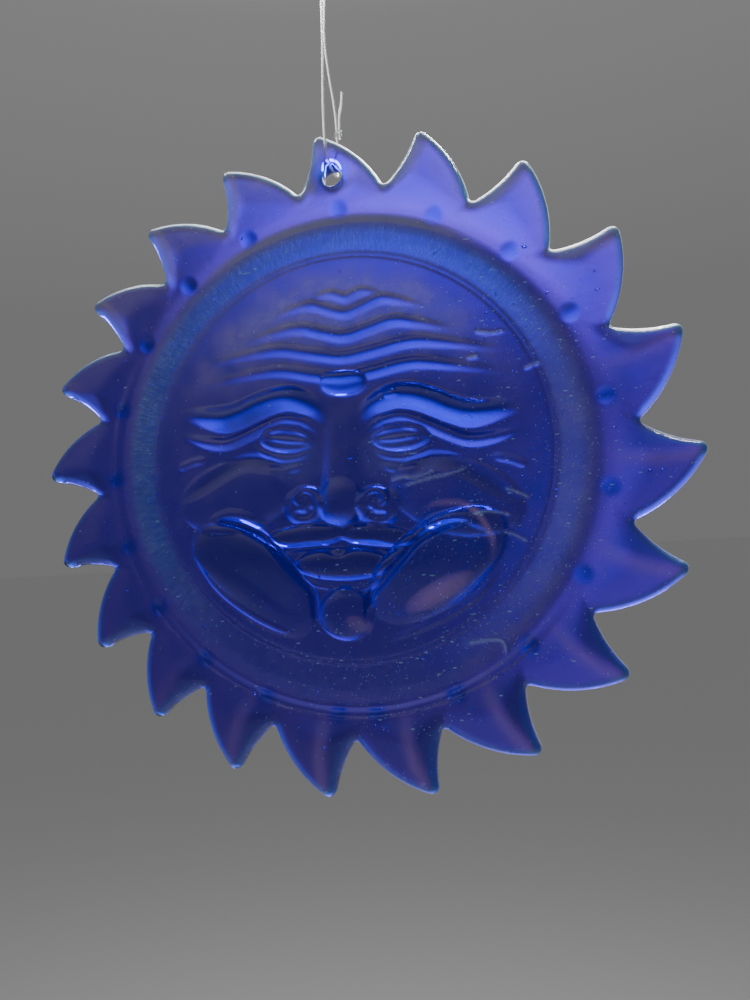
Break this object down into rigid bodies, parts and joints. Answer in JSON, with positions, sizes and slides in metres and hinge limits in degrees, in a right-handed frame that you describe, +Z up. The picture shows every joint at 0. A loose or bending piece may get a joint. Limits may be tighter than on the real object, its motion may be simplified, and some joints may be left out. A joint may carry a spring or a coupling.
{
  "type": "suncatcher",
  "caption": "Cobalt pressed-glass sun with curved rays, a ring band and a folk-art face in relief, hung by a loop of clear line through a hole in its top ray.",
  "frame": {"origin": "top inside of the hanging loop, where a hook bears", "axes": "+Z up along the hanging direction, the face looks along -Y, +X to the right seen from the front"},
  "size_m": [0.13, 0.0162, 0.1632],
  "materials": {
    "glass": "fire-polished translucent cobalt glass with a hazy ring band",
    "line": "clear glossy monofilament"
  },
  "bodies": {
    "line": {"hanging_line": "line", "line_knot": "line", "line_tag_end": "line"},
    "glass": {"sun_glass": "glass"}
  },
  "joints": [
    {"name": "swing", "type": "hinge", "parent": "line", "child": "glass", "pos_m": [0, 0, -0.04], "axis": [0, 1, 0], "range_deg": [-45, 45]}
  ]
}
